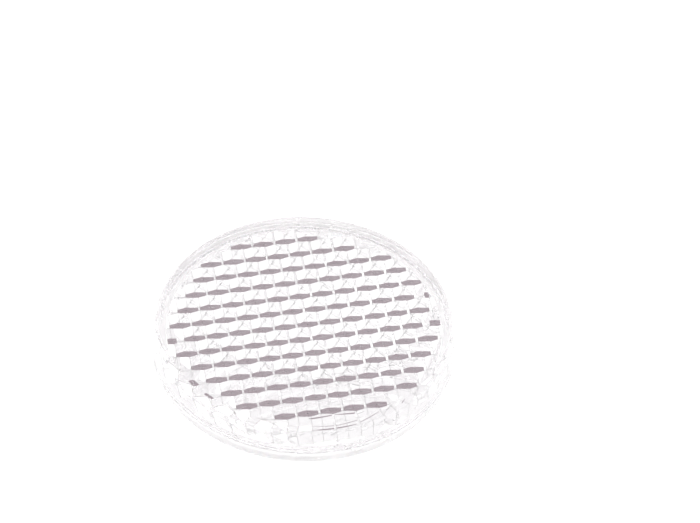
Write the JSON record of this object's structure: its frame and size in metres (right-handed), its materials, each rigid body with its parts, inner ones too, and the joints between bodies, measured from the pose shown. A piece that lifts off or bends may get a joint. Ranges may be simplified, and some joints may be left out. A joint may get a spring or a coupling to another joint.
{
  "type": "prism reflector disc",
  "caption": "Round clear plastic disc whose moulded cube-corner prisms send a measuring beam straight back to the instrument; flat back for fixing.",
  "frame": {"origin": "centre of the back face, which the disc rests on and is mounted by", "axes": "+Z from the back face out of the front face, +X along the rows of prisms"},
  "size_m": [0.084, 0.084, 0.0133],
  "materials": {
    "clear_lens": "clear moulded polycarbonate, polished, with optical prism faces",
    "clear_cover": "clear moulded polycarbonate, smooth",
    "weld": "re-set clear plastic, slightly cloudy"
  },
  "bodies": {
    "root": {"front_lens": "clear_lens", "back_cover": "clear_cover", "weld_bead": "weld"}
  },
  "joints": []
}
